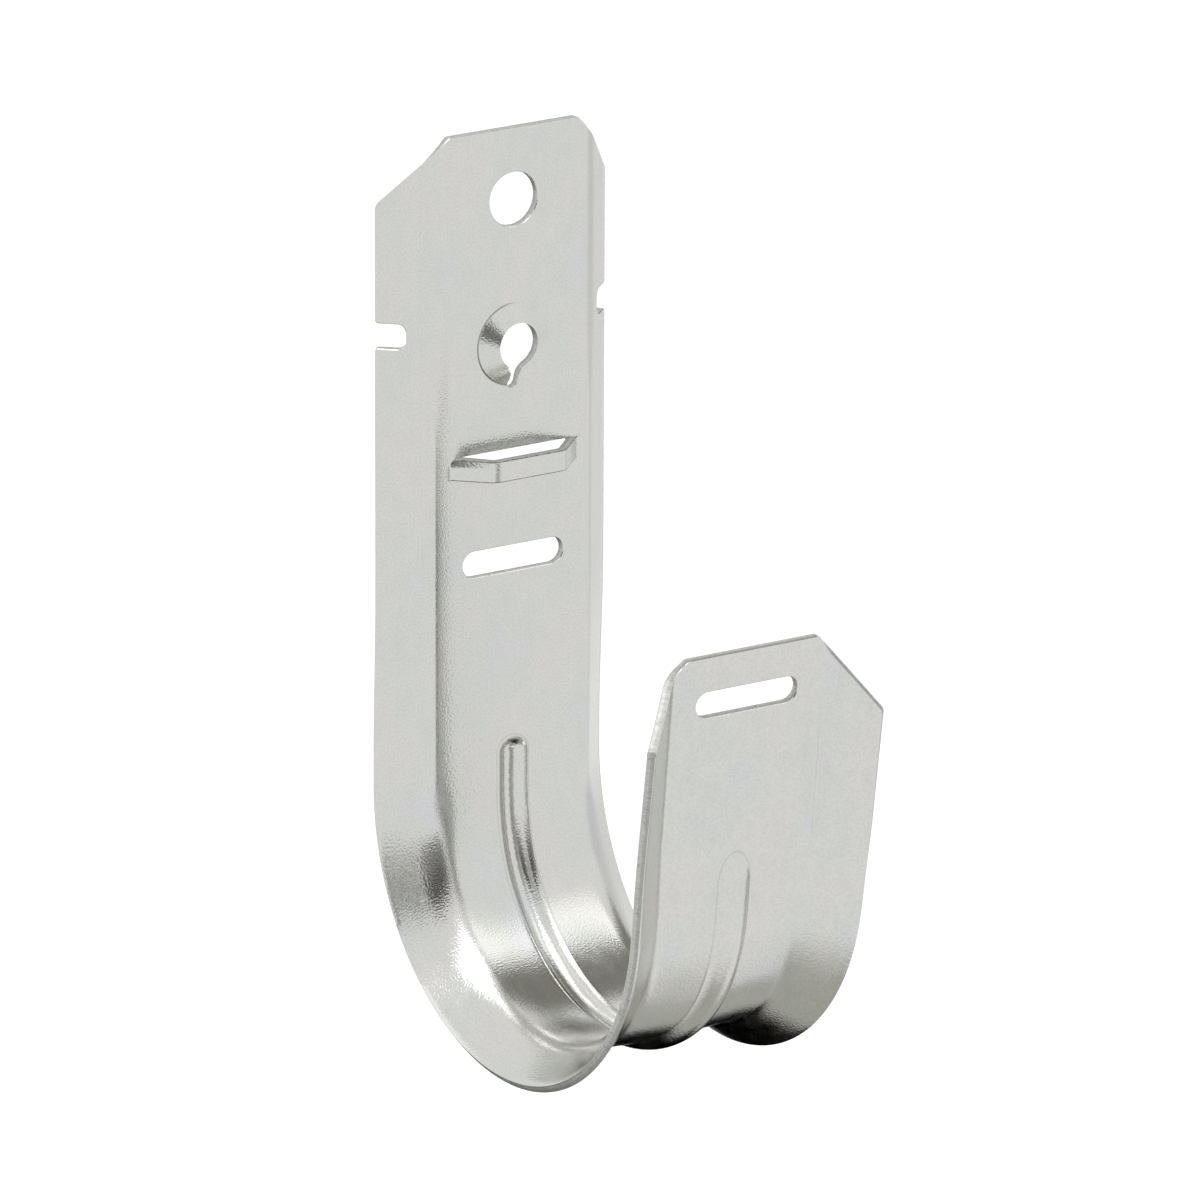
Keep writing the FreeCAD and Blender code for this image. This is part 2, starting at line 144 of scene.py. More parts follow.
def lip_drop(along):
    edge_turn = math.pi / 2.0 - edge_lean
    out_y, out_z = -math.sin(edge_turn), -math.cos(edge_turn)
    web = strip_place(lip_start + along, 0.0, 0.0)
    ahead = strip_place(lip_start + along, 0.0, 1.0)
    gap = edge_radius - (web[1] - edge_centre_y) * out_y - (web[2] - edge_centre_z) * out_z
    return gap / ((ahead[1] - web[1]) * out_y + (ahead[2] - web[2]) * out_z)


# From distance along the strip, x across it and offset outward from its inside face to a place
def strip_place(along, x, out):
    if along <= back_length:
        return x, front + out, top_above_hole - along
    reach = trough_radius + out
    if along <= lip_start:
        turn = (along - back_length) / trough_radius - math.pi / 2.0
        return x, axis_y - reach * math.sin(turn), axis_z - reach * math.cos(turn)
    up = along - lip_start
    y = axis_y - reach * math.cos(lip_lean) - up * math.sin(lip_lean)
    z = axis_z - reach * math.sin(lip_lean) + up * math.cos(lip_lean)
    return x, y, z


def flare_of(half, drop, fold):
    return math.atan2(drop, half - fold), math.hypot(drop, half - fold)


def ease_bend(half, drop):
    return trough_ease / math.tan(flare_of(half, drop, fold_half)[0] / 2.0)


# Half width at the wing's edge, its drop behind the web, the bend's radius and the fold's place
def shape_at(along):
    if along <= back_length:
        below = along - top_above_hole
        entry_drop = trough_drop(-math.pi / 2.0)
        entry = blend(below, flare_below_hole, trough_below_hole - entry_above_trough)
        half = edge_half + (trough_half - edge_half) * entry
        drop = back_drop + (entry_drop - back_drop) * entry
        crisp = blend(below, soft_below_hole, crisp_below_hole)
        bend = soft_bend + (crisp_bend - soft_bend) * crisp
        bend += (ease_bend(trough_half, entry_drop) - crisp_bend) * entry
        return half, drop, bend, fold_half
    if along <= lip_start:
        turn = (along - back_length) / trough_radius - math.pi / 2.0
        half, drop = trough_width(turn), trough_drop(turn)
        return half, drop, ease_bend(half, drop), fold_half
    up = along - lip_start
    share = blend(up, 0.0, lip_widens_over)
    half = trough_width(turn_end) + (lip_half - trough_width(turn_end)) * share
    drop = lip_drop(up)
    start_bend = ease_bend(trough_width(turn_end), trough_drop(turn_end))
    bend = start_bend + (lip_bend - start_bend) * share
    return half, drop, bend, fold_half + (lip_fold - fold_half) * share


# Flare, wing length, length round the bend, fold, and the bend's reach to each side of the fold
def fold_at(along):
    half, drop, bend, fold = shape_at(along)
    flare, wing = flare_of(half, drop, fold)
    return flare, wing, bend * flare, fold, bend * math.tan(flare / 2.0)


# Rib heights at a distance from its middle line: inside face and outside face
def rib_heights(away):
    inside, outside = 0.0, sheet
    shoulder_to = rib_half - rib_shoulder * math.sin(rib_slope)
    if away < shoulder_to:
        inside = rib_centre + math.sqrt(rib_floor ** 2 - away ** 2)
    elif away < rim_x:
        inside = rib_shoulder - math.sqrt(rib_shoulder ** 2 - (rib_half - away) ** 2)
    elif away < crease_x:
        inside = rim_out - (away - rim_x) * math.tan(rib_rim_slope)
    elif away < crease_to:
        inside = rib_crease - math.sqrt(rib_crease ** 2 - (crease_to - away) ** 2)
    crown = rib_floor + sheet
    foot_to = rib_half - rib_foot * math.sin(rib_slope)
    if away < foot_to:
        outside = rib_centre + math.sqrt(crown ** 2 - away ** 2)
    elif away < rib_half:
        outside = rib_shoulder - math.sqrt(rib_foot ** 2 - (rib_half - away) ** 2)
    return inside, outside


# Share of the sag that the pressed rib leaves in the web, full round the trough
def sag_at(along):
    starts = blend(along, back_length, back_length + sag_run)
    ends = blend(along, lip_start - sag_run, lip_start)
    return starts * (1.0 - ends)


# Share of the bend that is gentle toward the web and crisp toward the wing, low on the back plate
def gentle_at(along):
    starts = blend(along - top_above_hole, soft_below_hole, crisp_below_hole)
    ends = blend(along, back_length - entry_above_trough, back_length + gentle_run)
    return starts * (1.0 - ends)


# Share of the extra ease that the wing has at the start of the trough
def eased_at(along):
    starts = blend(along, back_length + eased_from, back_length + eased_full)
    ends = blend(along, back_length + eased_until, back_length + eased_gone)
    return starts * (1.0 - ends)


# Flare, wing length and fold, then where the eased bend leaves the web and how far on it meets the wing
def eased_fold_at(along):
    flare, wing, bend_run, fold, tangent = fold_at(along)
    gentle = gentle_at(along)
    web_end = fold - tangent - (gentle_web_side - tangent) * gentle
    wing_start = tangent + (crisp_wing_side - tangent) * gentle + eased_wing * eased_at(along)
    return flare, wing, fold, web_end, wing_start


# Place on the web of a line of the blank: the flat middle as it is, then spread as far as the bend
def on_web(reach, web_end):
    if reach <= flat_to:
        return reach
    return flat_to + (reach - flat_to) / (bend_from - flat_to) * (web_end - flat_to)


# Distance from the fold of a line of the blank that is on the wing
def on_wing(reach, wing, wing_start):
    return wing_start + (wing - wing_start) * (reach - wing_from) / (tip_at - wing_from)


# Offset from the inside face with the rib pressed into the web, lower toward the rib's end on the lip
def with_rib(x, along, depth):
    beyond = max(rib_top - along, (along - rib_end) * lip_dome_ease, 0.0)
    away = math.hypot(x, beyond)
    if away >= rib_half:
        return depth
    low, high = rib_heights(away)
    left = rib_end + rib_half / lip_dome_ease - along
    rise = dome_least + (1.0 - dome_least) * blend(left, 0.0, dome_fade)
    return depth + (low + (high - low) * depth / sheet - depth) * rise


# From the blank (across, along, depth through the sheet) to the formed hook
def formed(across, along, depth):
    flare, wing, fold, web_end, wing_start = eased_fold_at(along)
    reach = abs(across)
    side = 1.0 if across >= 0.0 else -1.0
    if reach <= bend_from:
        x = on_web(reach, web_end)
        out = with_rib(x, along, depth)
        out += trough_sag * sag_at(along) * max(1.0 - (x / web_end) ** 2, 0.0) ** 2
    elif reach <= wing_from:
        t = (reach - bend_from) / (wing_from - bend_from)
        before = fold - web_end
        after_x, after_out = wing_start * math.cos(flare), wing_start * math.sin(flare)
        in_x = web_end + 2.0 * before * t * (1.0 - t) + (before + after_x) * t * t
        in_out = after_out * t * t
        run_x = before * (1.0 - t) + after_x * t
        run_out = after_out * t
        run = math.hypot(run_x, run_out)
        x, out = in_x - depth * run_out / run, in_out + depth * run_x / run
    else:
        past = on_wing(reach, wing, wing_start)
        x = fold + past * math.cos(flare) - depth * math.sin(flare)
        out = past * math.sin(flare) + depth * math.cos(flare)
    return strip_place(along, side * x, out)


# Distance measured over the inside face of a place across the blank, for the grain to run evenly
def run_across(across, along):
    flare, wing, fold, web_end, wing_start = eased_fold_at(along)
    reach = abs(across)
    side = 1.0 if across >= 0.0 else -1.0
    if reach <= bend_from:
        return side * on_web(reach, web_end)
    if reach <= wing_from:
        share = (reach - bend_from) / (wing_from - bend_from)
        return side * (web_end + share * (fold - web_end + wing_start))
    return side * (fold + on_wing(reach, wing, wing_start))


# Across place on the blank of a distance measured over the inside face of the plain bend
def blank_across(distance, along):
    flare, wing, bend_run, fold, tangent = fold_at(along)
    web_end = fold - tangent
    if distance <= flat_to:
        return distance
    if distance <= web_end:
        return flat_to + (distance - flat_to) / (web_end - flat_to) * (bend_from - flat_to)
    if distance <= web_end + bend_run:
        return bend_from + (distance - web_end) / bend_run * (wing_from - bend_from)
    past = distance - web_end - bend_run
    return wing_from + past / (wing - tangent) * (tip_at - wing_from)


def spread(start, stop, step):
    count = max(1, round(abs(stop - start) / step))
    return [start + (stop - start) * k / count for k in range(count)]


def blank_lines():
    half = spread(0.0, rim_lines[0], rib_step) + rim_lines + spread(web_from, flat_to, web_step)
    half += spread(flat_to, bend_from, spread_step) + spread(bend_from, wing_from, bend_step)
    half += spread(wing_from, tip_at, wing_step) + [tip_at]
    across = [-q for q in reversed(half[1:])] + half
    dome_start, dome_stop = rib_top - rib_half - dome_margin, rib_top + dome_margin
    cap_start, cap_stop = rib_end - dome_margin, rib_end + rib_half / lip_dome_ease + dome_margin
    along = spread(0.0, dome_start, plate_step) + spread(dome_start, dome_stop, dome_step)
    along += spread(dome_stop, back_length, low_step) + spread(back_length, lip_start, trough_step)
    along += spread(lip_start, cap_start, low_step) + spread(cap_start, cap_stop, dome_step)
    along += spread(cap_stop, strip_length, lip_step) + [strip_length]
    return across, along


# Number of the line that a place on a grid from -1 to 1 belongs to
def grid_line(place, count):
    return round((place + 1.0) / 2.0 * (count - 1))


# A grid whose lines stand where they are given, thickened into a slab
def slab(across, along):
    made = bmesh.new()
    bmesh.ops.create_grid(
        made, x_segments=len(across) - 1, y_segments=len(along) - 1, size=1.0)
    for vert in made.verts:
        column = grid_line(vert.co.x, len(across))
        row = grid_line(vert.co.y, len(along))
        vert.co = (across[column], along[row], 0.0)
    return thicken(made, sheet)


def thicken(made, depth):
    grown = bmesh.ops.extrude_face_region(made, geom=made.faces[:])
    for item in grown["geom"]:
        if isinstance(item, bmesh.types.BMVert):
            item.co.z += depth
    bmesh.ops.recalc_face_normals(made, faces=made.faces[:])
    return made


def break_edges(made, edges, width):
    bmesh.ops.bevel(made, geom=edges, offset=width, segments=2, profile=0.5, affect="EDGES")


def sharp_rims(made):
    return [e for e in made.edges if len(e.link_faces) == 2 and e.calc_face_angle(0.0) > rim_angle]


# A cutter through the sheet, a little wider at both faces so that the cut edges are eased
def punch(made, outline_at):
    levels = [(-punch_over, edge_break + punch_over), (edge_break, 0.0),
              (sheet - edge_break, 0.0), (sheet + punch_over, edge_break + punch_over)]
    rings = []
    for depth, wider in levels:
        verts = [made.verts.new((q, s, depth)) for q, s in outline_at(wider)]
        ring = [made.edges.new((a, b)) for a, b in zip(verts, verts[1:] + verts[:1])]
        rings.append(ring)
    for lower, upper in zip(rings, rings[1:]):
        bmesh.ops.bridge_loops(made, edges=lower + upper)
    for ring in (rings[0], rings[-1]):
        bmesh.ops.contextual_create(made, geom=ring)


def turned(q, s, radius, start, stop, count, stretch=1.0):
    points = []
    for step in range(count + 1):
        angle = math.radians(start + (stop - start) * step / count)
        points.append((q + radius * math.cos(angle) * stretch, s + radius * math.sin(angle)))
    return points


def circle_at(along, radius, count=72):
    def outline(wider):
        return turned(0.0, along, radius + wider, 0.0, 360.0, count)[:-1]
    return outline


def slot_at(along, half_length, radius, count=24):
    def outline(wider):
        end = half_length - radius
        right = turned(end, along, radius + wider, -90.0, 90.0, count)
        left = turned(-end, along, radius + wider, 90.0, 270.0, count)
        return right + left
    return outline


def notch_at(along, side):
    flare, wing, bend_run, fold, tangent = fold_at(along)
    scale = (tip_at - wing_from) / (wing - tangent)

    def outline(wider):
        round_in, ease = notch_corner + wider, notch_mouth
        high = along + notch_half + wider
        centre = tip_at - (notch_depth - notch_corner) * scale
        inner = turned(centre, along + notch_half - notch_corner, round_in, 180.0, 90.0, 8, scale)
        mouth = turned(tip_at - ease * scale, high + ease, ease, -90.0, 0.0, 5, scale)
        upper = inner + mouth + [(tip_at + past_edge, high + ease)]
        lower = [(q, 2.0 * along - s) for q, s in reversed(upper)]
        return [(side * q, s) for q, s in upper + lower]
    return outline


# Points round a corner of the blank, from one direction through a turn
def corner_arc(centre, down, direction, turn, first, steps=4):
    angles = [direction + turn * step / steps for step in range(first, steps + 1)]
    return [(centre + corner_round * math.sin(t), down - corner_round * math.cos(t)) for t in angles]


# A cut corner: from a distance across at the strip's end to a drop at the wing's edge
def corner_at(end, start, drop, side):
    inward = 1.0 if end == 0.0 else -1.0
    flare, wing, bend_run, fold, tangent = fold_at(end)
    width = fold + wing - 2.0 * tangent + bend_run
    slope = math.atan2(drop, width - start)
    rest = math.pi / 2.0 - slope
    begin = start - corner_round * math.tan(slope / 2.0)
    low_down = drop + corner_round * math.tan(rest / 2.0)

    def outline(wider):
        points = [(begin - past_edge, -past_edge), (begin, -corner_lift)]
        points += corner_arc(begin, corner_round, 0.0, slope, 1)
        points += corner_arc(width - corner_round, low_down, slope, rest, 0)
        points += [(width + past_tip, low_down)]
        points = [(a, b + wider) for a, b in points]
        fine = []
        for (a0, b0), (a1, b1) in zip(points, points[1:]):
            count = max(1, round(math.hypot(a1 - a0, b1 - b0) / corner_step))
            fine += [(a0 + (a1 - a0) * k / count, b0 + (b1 - b0) * k / count)
                     for k in range(count)]
        fine += [points[-1], (width + past_tip, -past_end), (begin - past_edge, -past_end)]
        return [(side * blank_across(a, end), end + inward * b) for a, b in fine]
    return outline


def opening_at(along, half_length, half_height):
    def outline(wider):
        ease = min(wider, opening_ease)
        q = blank_across(half_length, along) + ease
        h = half_height + ease
        return [(-q, along - h), (q, along - h), (q, along + h), (-q, along + h)]
    return outline


def plain_hole(made, along, radius, count):
    ring = bmesh.ops.create_cone(
        made, cap_ends=True, segments=count, radius1=radius, radius2=radius, depth=4.0 * sheet)
    turn = Matrix.Translation((0.0, along, sheet / 2.0)) @ Matrix.Rotation(math.pi / count, 4, "Z")
    bmesh.ops.transform(made, matrix=turn, verts=ring["verts"])


def mesh_object(name, made):
    bmesh.ops.recalc_face_normals(made, faces=made.faces[:])
    data = bpy.data.meshes.new(name)
    made.to_mesh(data)
    made.free()
    made_object = bpy.data.objects.new(name, data)
    bpy.context.scene.collection.objects.link(made_object)
    return made_object


def cut_with(body, cutter):
    change = body.modifiers.new("cut", "BOOLEAN")
    change.object = cutter
    change.operation = "DIFFERENCE"
    change.solver = "EXACT"
    graph = bpy.context.evaluated_depsgraph_get()
    data = bpy.data.meshes.new_from_object(body.evaluated_get(graph))
    body.modifiers.remove(change)
    old = body.data
    body.data = data
    bpy.data.meshes.remove(old)
    bpy.data.objects.remove(cutter)


def blank_cutters():
    made = bmesh.new()
    punch(made, circle_at(top_above_hole, hole_radius))
    punch(made, slot_at(top_above_hole + back_slot_below_hole, slot_half, slot_radius))
    punch(made, slot_at(strip_length - lip_slot_from_top, slot_half, slot_radius))
    punch(made, opening_at(top_above_hole + strap_below_hole, strap_half, strap_height / 2.0))
    for side in (1.0, -1.0):
        punch(made, notch_at(top_above_hole + notch_below_hole, side))
        punch(made, corner_at(0.0, back_corner_from, back_corner_drop, side))
    punch(made, corner_at(strip_length, lip_near_corner_from, lip_near_corner_drop, -1.0))
    punch(made, corner_at(strip_length, lip_far_corner_from, lip_far_corner_drop, 1.0))
    plain_hole(made, top_above_hole + dish_below_hole, dish_disc, dish_segments)
    return mesh_object("blank_cutters", made)


# Faces that the shears left take the second material
def mark_walls(made, is_wall):
    made.normal_update()
    for face in made.faces:
        face.material_index = 1 if is_wall(face.normal) else 0


def upright(normal):
    return abs(normal.z) < wall_slope


def level(normal):
    return abs(normal.z) > wall_slope


# Height of the dish, which climbs one thread pitch on its way round from the slit
def dish_height(x, z):
    radius = math.hypot(x, z)
    slit_turn = 2.0 * slit_left / (dish_base + dish_rim)
    share = ((math.atan2(z, x) + math.pi / 2.0 + slit_turn) % (2.0 * math.pi)) / (2.0 * math.pi)
    lowest = dish_rise - thread_pitch / 2.0
    slope = (lowest + thread_pitch * share) / (dish_base - dish_rim)

    def rounded(t):
        return (t + math.sqrt(t * t + dish_ease * dish_ease)) / 2.0
    return slope * max(rounded(dish_base - radius) - rounded(dish_base - dish_disc), 0.0)


# Outline of the slit below the dish's hole, with a round lower end
def slit(wider):
    ease = min(wider, slit_ease)
    left = [(-1.95, -2.2), (-1.75, -2.95), (-1.4, -3.4), (-1.15, -3.9), (-1.05, -4.6)]
    right = [(0.55, -4.6), (0.6, -3.9), (0.85, -3.35), (1.3, -2.85), (1.3, 0.0)]
    low_end = turned(-0.25, -5.2, slit_end_radius + ease, 190.0, 350.0, 12)
    outline = [(q - ease, z) for q, z in left] + low_end + [(q + ease, z) for q, z in right]
    return outline + [(left[0][0] - ease, 0.0)]


# The dish: rings from the rim out to a disc that fills the round hole left for it in the plate
def dish_form():
    made = bmesh.new()
    fine_from, fine_to, outer, ring_step, fine_step = 5.0, 6.2, 6.4, 0.35, 0.1
    radii = spread(dish_rim, fine_from, ring_step) + spread(fine_from, fine_to, fine_step)
    radii += [fine_to, outer, dish_disc]
    ring = bmesh.ops.create_circle(made, segments=dish_segments, radius=radii[0])["verts"]
    turn = Matrix.Rotation(math.pi / dish_segments, 4, "Z")
    bmesh.ops.transform(made, matrix=turn, verts=ring)
    edges = made.edges[:]
    for before, after in zip(radii, radii[1:]):
        grown = bmesh.ops.extrude_edge_only(made, edges=edges)["geom"]
        verts = [g for g in grown if isinstance(g, bmesh.types.BMVert)]
        bmesh.ops.scale(made, vec=(after / before, after / before, 1.0), verts=verts)
        edges = [g for g in grown if isinstance(g, bmesh.types.BMEdge)
                 and all(v in verts for v in g.verts)]
    thicken(made, sheet)
    body = mesh_object("dish_disc", made)
    cutter = bmesh.new()
    punch(cutter, slit)
    cut_with(body, mesh_object("slit_cutter", cutter))
    made = bmesh.new()
    made.from_mesh(body.data)
    mark_walls(made, upright)
    place = made.verts.layers.float_vector.new("strip_place")
    for vert in made.verts:
        x, z, depth = vert.co
        vert.co = (x, front + depth - dish_height(x, z), z - dish_below_hole)
        vert[place] = (x, top_above_hole - vert.co.z, depth)
    made.to_mesh(body.data)
    made.free()
    return body


# The strap's middle line, seen from above: out by a ramp, across, and back by a ramp, bends rounded
def strap_path():
    corners = [(-strap_half - strap_tuck, 0.0), (-strap_half + strap_foot, 0.0),
               (-strap_flat_half, -strap_rise), (strap_flat_half, -strap_rise),
               (strap_half - strap_foot, 0.0), (strap_half + strap_tuck, 0.0)]
    corners = [Vector(corner) for corner in corners]
    path = [corners[0]]
    for before, here, after in zip(corners, corners[1:], corners[2:]):
        into = (here - before).normalized()
        out = (after - here).normalized()
        angle = math.acos(max(-1.0, min(1.0, into.dot(out))))
        reach = min(strap_bend * math.tan(angle / 2.0), (here - before).length * strap_bend_share)
        radius = reach / math.tan(angle / 2.0)
        side = 1.0 if into.x * out.y - into.y * out.x > 0.0 else -1.0
        start = here - into * reach
        centre = start + Vector((-into.y, into.x)) * side * radius
        arm = start - centre
        for step in range(strap_bend_steps + 1):
            t = side * angle * step / strap_bend_steps
            spun = Vector((arm.x * math.cos(t) - arm.y * math.sin(t),
                           arm.x * math.sin(t) + arm.y * math.cos(t)))
            path.append(centre + spun)
    path.append(corners[-1])
    return path


# The strap: a flat bar bent out and back over its own opening
def strap_form():
    path = strap_path()
    made = bmesh.new()
    bmesh.ops.create_grid(made, x_segments=len(path) - 1, y_segments=strap_rows, size=1.0)
    low = strap_height / 2.0 - strap_gap
    for vert in made.verts:
        vert.co = (float(grid_line(vert.co.x, len(path))), vert.co.y * low, 0.0)
    thicken(made, sheet)

    def on_rim(vert):
        clear = abs(path[round(vert.co.x)].x) < strap_half - strap_plain_end
        return clear and abs(vert.co.y) > low - touching
    rims = [e for e in sharp_rims(made) if all(on_rim(v) for v in e.verts)]
    break_edges(made, rims, strap_break)
    place = made.verts.layers.float_vector.new("strip_place")
    for vert in made.verts:
        depth = vert.co.z
        station = min(max(vert.co.x, 0.0), len(path) - 1.0)
        index = min(int(station), len(path) - 2)
        here = path[index].lerp(path[index + 1], station - index)
        nearest = index + round(station - index)
        before, after = path[max(nearest - 1, 0)], path[min(nearest + 1, len(path) - 1)]
        run = (after - before).normalized()
        on_ramp = blend(here.x, -strap_half, -strap_half + ramp_from) * (
            1.0 - blend(here.x, -strap_flat_half - ramp_fade_from, -strap_flat_half - ramp_fade_to))
        shift = (depth - sheet / 2.0) * strap_thin
        shift += ramp_curl * on_ramp * max(ramp_curl_over - (low - vert.co.y), 0.0)
        vert.co = (here.x - run.y * shift, here.y + run.x * shift, vert.co.y - strap_below_hole)
        vert[place] = (vert.co.x, top_above_hole - vert.co.z, depth)
    mark_walls(made, level)
    return mesh_object("strap_bar", made)


def hook_form():
    made = slab(*blank_lines())
    break_edges(made, sharp_rims(made), edge_break)
    blank = mesh_object("blank", made)
    cut_with(blank, blank_cutters())
    made = bmesh.new()
    made.from_mesh(blank.data)
    mark_walls(made, upright)
    place = made.verts.layers.float_vector.new("strip_place")
    for vert in made.verts:
        vert[place] = (run_across(vert.co.x, vert.co.y), vert.co.y, vert.co.z)
        vert.co = formed(vert.co.x, vert.co.y, vert.co.z)
    for extra in (dish_form(), strap_form()):
        made.from_mesh(extra.data)
        bpy.data.objects.remove(extra)
    for vert in made.verts:
        vert.co = vert.co * to_metres
    made.normal_update()
    bmesh.ops.recalc_face_normals(made, faces=made.faces[:])
    data = bpy.data.meshes.new("j_hook_form")
    made.to_mesh(data)
    made.free()
    data.polygons.foreach_set("use_smooth", [True] * len(data.polygons))
    data.set_sharp_from_angle(angle=smooth_angle)
    old = blank.data
    blank.data = data
    bpy.data.meshes.remove(old)
    blank.name = "j_hook_form"
    return blank


# Camera of the photograph, fitted to the hook's own points: degrees, metres, and a lens in film millimetres
azimuth = math.radians(-33.136)
elevation = math.radians(17.542)
roll = math.radians(0.215)
target = Vector((0.0, -0.026, -0.0556))
distance = 1.8
shift_x = -0.002217
shift_y = 0.006273
film_width = 36.0
focal = 13590.467 / 1200.0 * film_width


# Direction from the hook to a compass side and a height
def direction_to(side, height):
    return Vector((math.sin(side) * math.cos(height),
                   -math.cos(side) * math.cos(height),
                   math.sin(height)))


def photo_camera():
    back = direction_to(azimuth, elevation)
    right = Vector((math.cos(azimuth), math.sin(azimuth), 0.0))
    up = back.cross(right)
    rolled_right = right * math.cos(roll) + up * math.sin(roll)
    rolled_up = up * math.cos(roll) - right * math.sin(roll)
    data = bpy.data.cameras.new("photo_camera")
    data.lens = focal
    data.sensor_width = film_width
    data.clip_start, data.clip_end = 0.1, 20.0
    camera = bpy.data.objects.new("photo_camera", data)
    eye = target + back * distance + rolled_right * shift_x + rolled_up * shift_y
    turn = Matrix((rolled_right, rolled_up, back)).transposed().to_4x4()
    camera.matrix_world = Matrix.Translation(eye) @ turn
    bpy.context.scene.collection.objects.link(camera)
    bpy.context.scene.camera = camera


def node_tree(name):
    material = bpy.data.materials.new(name)
    material.use_nodes = True
    return material, material.node_tree, material.node_tree.nodes["Principled BSDF"]


# Noise over coordinates that are stretched by a scale along each axis
def noise_over(tree, vector, scale, stretch=(1.0, 1.0, 1.0), detail=2.0, rough=0.5):
    spread_out = tree.nodes.new("ShaderNodeMapping")
    spread_out.inputs["Scale"].default_value = [scale * q for q in stretch]
    noise = tree.nodes.new("ShaderNodeTexNoise")
    noise.inputs["Scale"].default_value = 1.0
    noise.inputs["Detail"].default_value = detail
    noise.inputs["Roughness"].default_value = rough
    tree.links.new(vector, spread_out.inputs["Vector"])
    tree.links.new(spread_out.outputs[0], noise.inputs["Vector"])
    return noise.outputs["Fac"]


def ranged(tree, value, low, high, out_low, out_high, smooth=False):
    change = tree.nodes.new("ShaderNodeMapRange")
    if smooth:
        change.interpolation_type = "SMOOTHSTEP"
    change.inputs["From Min"].default_value = low
    change.inputs["From Max"].default_value = high
    change.inputs["To Min"].default_value = out_low
    change.inputs["To Max"].default_value = out_high
    tree.links.new(value, change.inputs["Value"])
    return change.outputs[0]


def calc(tree, operation, first, second=0.0):
    node = tree.nodes.new("ShaderNodeMath")
    node.operation = operation
    for socket, item in zip(node.inputs, (first, second)):
        if isinstance(item, float):
            socket.default_value = item
        else:
            tree.links.new(item, socket)
    return node.outputs[0]


def off_line(tree, value, line):
    return calc(tree, "ABSOLUTE", calc(tree, "SUBTRACT", value, line))


def diagonal(tree, first, second):
    squares = [calc(tree, "MULTIPLY", item, item) for item in (first, second)]
    return calc(tree, "SQRT", calc(tree, "ADD", *squares))


def parts_of(tree, vector):
    split = tree.nodes.new("ShaderNodeSeparateXYZ")
    tree.links.new(vector, split.inputs[0])
    return split.outputs


def grey(tone):
    return tone, tone, tone


def tones(tree, value, stops):
    ramp = tree.nodes.new("ShaderNodeValToRGB")
    points = ramp.color_ramp.elements
    points[0].position, points[0].color = stops[0][0], (*stops[0][1], 1.0)
    points[1].position, points[1].color = stops[-1][0], (*stops[-1][1], 1.0)
    for position, colour in stops[1:-1]:
        points.new(position).color = (*colour, 1.0)
    tree.links.new(value, ramp.inputs[0])
    return ramp.outputs["Color"]


def shaded(tree, colour, *shares):
    for share in shares:
        mix = tree.nodes.new("ShaderNodeMix")
        mix.data_type = "RGBA"
        mix.blend_type = "MULTIPLY"
        mix.inputs["Factor"].default_value = 1.0
        tree.links.new(colour, mix.inputs["A"])
        tree.links.new(share, mix.inputs["B"])
        colour = mix.outputs["Result"]
    return colour


def raised(tree, height, depth, normal=None):
    bump = tree.nodes.new("ShaderNodeBump")
    bump.inputs["Strength"].default_value = 1.0
    bump.inputs["Distance"].default_value = depth
    tree.links.new(height, bump.inputs["Height"])
    if normal is not None:
        tree.links.new(normal, bump.inputs["Normal"])
    return bump.outputs["Normal"]


# Place on the flat strip in millimetres: across, along and depth through the sheet
def strip_vector(tree):
    place = tree.nodes.new("ShaderNodeAttribute")
    place.attribute_name = "strip_place"
    return place.outputs["Vector"]


# Painted shade: a thin dark line just inside the rib's rim, standing in for the shade along the pressed
# rib's crease
def rib_rim_shade(tree, across, along):
    before = calc(tree, "SUBTRACT", rib_top, along)
    after = calc(tree, "MULTIPLY", calc(tree, "SUBTRACT", along, rib_end), lip_dome_ease)
    past = calc(tree, "MAXIMUM", calc(tree, "MAXIMUM", before, after), 0.0)
    off = off_line(tree, diagonal(tree, across, past), rib_half - rib_line_in)
    return ranged(tree, off, rib_line_core, rib_line_out, rib_line_tone, 1.0, True)


# Painted shade: a faint dark line along the far fold of the lip, between two places on it
def fold_crease_shade(tree, across, along):
    off = off_line(tree, across, lip_fold - fold_line_in)
    thin = ranged(tree, off, fold_line_core, fold_line_out, 1.0, 0.0, True)
    begins, full = lip_start + fold_line_from, lip_start + fold_line_full
    fades, gone = lip_start + fold_line_until, lip_start + fold_line_gone
    start = ranged(tree, along, begins, full, 0.0, fold_line_dark, True)
    stop = ranged(tree, along, fades, gone, 1.0, 0.0, True)
    return calc(tree, "MULTIPLY", calc(tree, "MULTIPLY", start, stop), thin)


# Painted shade in the ring where the dish leaves the plate, full on its left side and fading out to the
# right
def dish_crease_shade(tree, across, along):
    down = calc(tree, "SUBTRACT", along, top_above_hole + dish_below_hole)
    off = off_line(tree, diagonal(tree, across, down), dish_base)
    ring = ranged(tree, off, ring_core, ring_out, ring_dark, 0.0, True)
    to_left = ranged(tree, across, ring_full_left_of, ring_gone_right_of, 1.0, 0.0, True)
    return calc(tree, "MULTIPLY", ring, to_left)


# Tone of the three lines of painted crease shade together, to multiply the zinc by
def painted_crease_shade(tree, strip):
    across, along = parts_of(tree, strip)[:2]
    marked = calc(tree, "SUBTRACT", rib_rim_shade(tree, across, along), fold_crease_shade(tree, across, along))
    return calc(tree, "SUBTRACT", marked, dish_crease_shade(tree, across, along))


